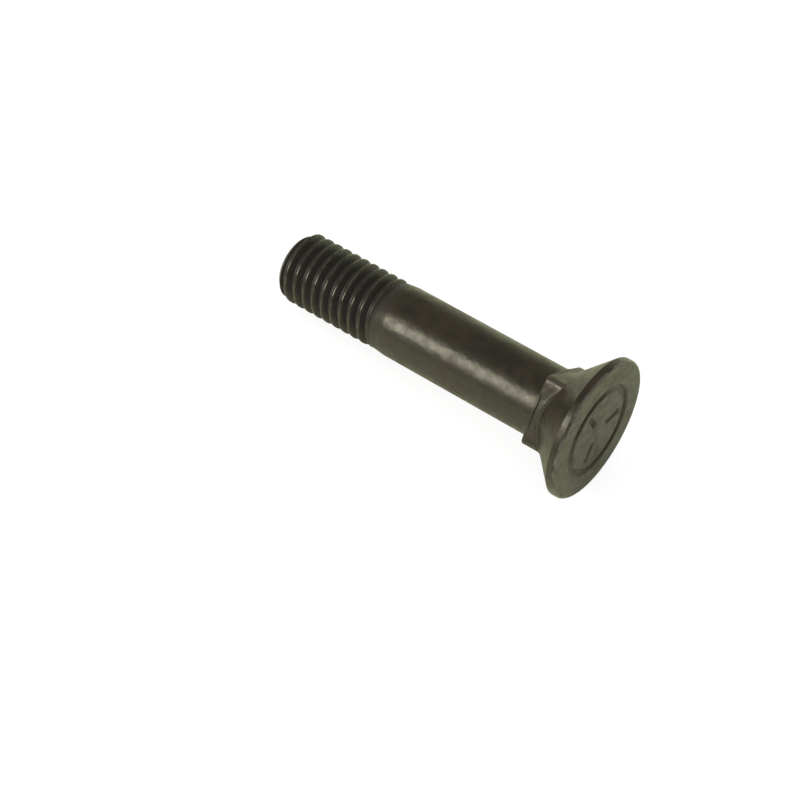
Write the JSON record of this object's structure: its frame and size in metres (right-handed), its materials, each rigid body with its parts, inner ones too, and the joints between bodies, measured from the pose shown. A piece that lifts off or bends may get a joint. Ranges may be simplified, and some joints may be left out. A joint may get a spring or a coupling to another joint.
{
  "type": "plow bolt",
  "caption": "Dark steel plow bolt: flat countersunk round head, square neck that keeps it from turning, plain shank and a coarse right-hand thread at the far end.",
  "frame": {"origin": "centre of the head's flat face, which is the lowest face as the bolt stands on its head", "axes": "+Z along the bolt's axis from the head's face to the thread's tip; X and Y square to the flats of the neck"},
  "size_m": [0.025, 0.025, 0.062],
  "materials": {
    "black_oxide_steel": "oiled black oxide over forged steel"
  },
  "bodies": {
    "root": {"bolt": "black_oxide_steel"}
  },
  "joints": []
}
